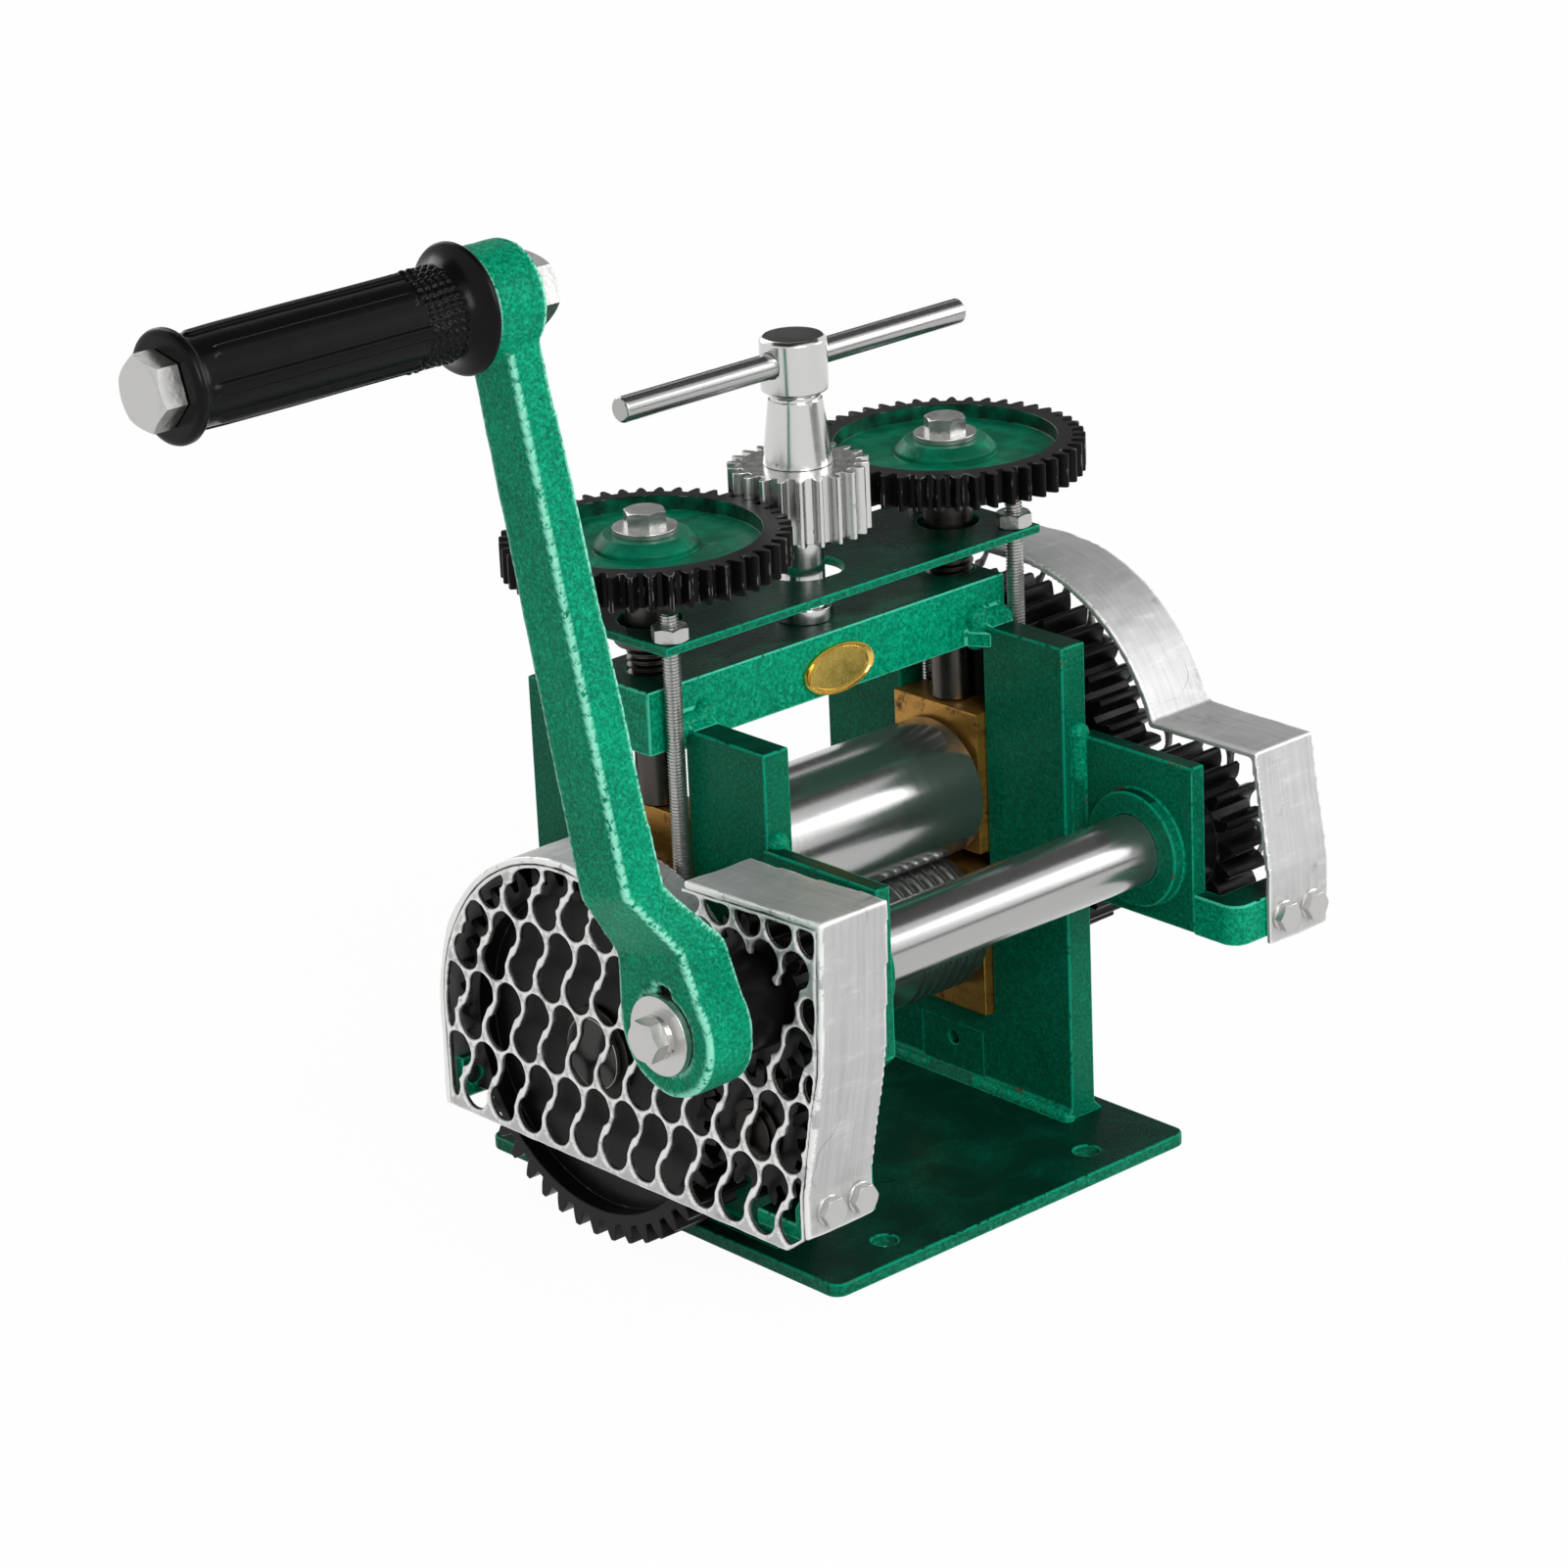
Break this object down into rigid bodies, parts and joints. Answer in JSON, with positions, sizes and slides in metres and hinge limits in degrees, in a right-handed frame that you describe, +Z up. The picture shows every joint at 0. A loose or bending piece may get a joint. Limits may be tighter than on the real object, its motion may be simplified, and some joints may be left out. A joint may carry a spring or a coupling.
{
  "type": "rolling mill",
  "caption": "Hand cranked jeweller's rolling mill: geared rollers in a welded steel frame, screw gears and a T spindle that set the gap, pierced gear covers",
  "frame": {"origin": "middle of the base plate's underside, midway between the four mounting holes", "axes": "+X along the rollers away from the crank, +Y from the drive shaft to the back, +Z up"},
  "size_m": [0.2504, 0.1398, 0.228],
  "materials": {
    "green_paint": "glossy hammered emerald green",
    "cover_sheet": "rough grey sheet with cast holes",
    "zinc_steel": "zinc plated",
    "bearing_brass": "oily and tarnished",
    "polished_steel": "ground and polished",
    "chromed_steel": "bright",
    "black_iron": "black and oily",
    "dark_steel": "dark and oily",
    "grip_rubber": "satin moulded rubber"
  },
  "bodies": {
    "frame": {"base_plate": "green_paint", "left_upright": "green_paint", "right_upright": "green_paint", "left_slot_filler": "green_paint", "right_slot_filler": "green_paint", "top_yoke": "green_paint", "left_shaft_bracket": "green_paint", "right_shaft_bracket": "green_paint", "left_cover_lugs": "green_paint", "right_cover_lugs": "green_paint", "left_cover_grille": "cover_sheet", "left_cover_band": "cover_sheet", "right_cover_grille": "cover_sheet", "right_cover_band": "cover_sheet", "cover_bolts": "zinc_steel", "left_lower_block": "bearing_brass", "right_lower_block": "bearing_brass", "idler_stud": "dark_steel", "idler_clip": "dark_steel"},
    "crank": {"drive_shaft": "polished_steel", "left_drive_pinion": "black_iron", "right_drive_pinion": "black_iron", "drive_keys": "dark_steel", "shaft_clip": "dark_steel", "crank_spacer": "zinc_steel", "crank_arm": "green_paint", "crank_washer": "zinc_steel", "crank_bolt": "zinc_steel", "handle_bolt": "zinc_steel", "handle_nut": "zinc_steel"},
    "grip": {"handle_grip": "grip_rubber"},
    "idler": {"idler_gear": "black_iron"},
    "lower_roll": {"lower_roller": "polished_steel", "lower_roller_gear": "black_iron", "lower_gear_key": "dark_steel", "lower_gear_clip": "dark_steel", "lower_thrust_washers": "bearing_brass"},
    "carriage": {"left_upper_block": "bearing_brass", "right_upper_block": "bearing_brass", "lifting_plate": "green_paint", "lift_rods": "zinc_steel", "rod_nuts": "zinc_steel"},
    "upper_thrust": {"upper_thrust_washers": "bearing_brass"},
    "upper_roll": {"upper_roller": "polished_steel", "upper_roller_gear": "black_iron", "upper_gear_key": "dark_steel", "upper_gear_clip": "dark_steel"},
    "left_screw": {"left_pressure_screw": "dark_steel", "left_screw_gear": "black_iron", "left_screw_washer": "zinc_steel", "left_screw_bolt": "zinc_steel"},
    "right_screw": {"right_pressure_screw": "dark_steel", "right_screw_gear": "black_iron", "right_screw_washer": "zinc_steel", "right_screw_bolt": "zinc_steel"},
    "t_handle": {"spindle": "chromed_steel", "spindle_pinion": "chromed_steel", "tommy_bar": "chromed_steel", "spindle_clip": "dark_steel"}
  },
  "joints": [
    {"name": "crank_turn", "type": "hinge", "parent": "frame", "child": "crank", "pos_m": [0, -0.05208, 0.071], "axis": [1, 0, 0], "continuous": true},
    {"name": "grip_spin", "type": "hinge", "parent": "crank", "child": "grip", "pos_m": [-0.138, -0.01858, 0.21495], "axis": [1, 0, 0], "continuous": true},
    {"name": "idler_spin", "type": "hinge", "parent": "frame", "child": "idler", "pos_m": [-0.06, -0.05037, 0.0413], "axis": [1, 0, 0], "continuous": true},
    {"name": "lower_roller_spin", "type": "hinge", "parent": "frame", "child": "lower_roll", "pos_m": [0, 0.003, 0.042], "axis": [1, 0, 0], "continuous": true},
    {"name": "t_handle_turn", "type": "hinge", "parent": "frame", "child": "t_handle", "pos_m": [0, 0.003, 0.14], "axis": [0, 0, 1], "range_deg": [-3513, 0]},
    {"name": "carriage_lift", "type": "slide", "parent": "frame", "child": "carriage", "axis": [0, 0, 1], "range_m": [0, 0.007]},
    {"name": "left_screw_turn", "type": "hinge", "parent": "carriage", "child": "left_screw", "pos_m": [-0.0425, 0.003, 0.14], "axis": [0, 0, 1], "range_deg": [0, 1680.5]},
    {"name": "right_screw_turn", "type": "hinge", "parent": "carriage", "child": "right_screw", "pos_m": [0.0425, 0.003, 0.14], "axis": [0, 0, 1], "range_deg": [0, 1680.5]},
    {"name": "upper_thrust_turn", "type": "hinge", "parent": "carriage", "child": "upper_thrust", "pos_m": [0, 0.003, 0.0732], "axis": [1, 0, 0], "range_deg": [0, 10.2]},
    {"name": "upper_roller_spin", "type": "hinge", "parent": "upper_thrust", "child": "upper_roll", "pos_m": [0, 0.003, 0.0732], "axis": [1, 0, 0], "continuous": true}
  ],
  "couplings": [
    {"joint": "idler_spin", "follows": "crank_turn", "ratio": -1.125},
    {"joint": "lower_roller_spin", "follows": "crank_turn", "ratio": 0.4},
    {"joint": "upper_roller_spin", "follows": "crank_turn", "ratio": -0.4},
    {"joint": "t_handle_turn", "follows": "carriage_lift", "rad_per_m": -8758.4},
    {"joint": "left_screw_turn", "follows": "carriage_lift", "rad_per_m": 4188.8},
    {"joint": "right_screw_turn", "follows": "carriage_lift", "rad_per_m": 4188.8},
    {"joint": "upper_thrust_turn", "follows": "carriage_lift", "rad_per_m": 25.116}
  ]
}
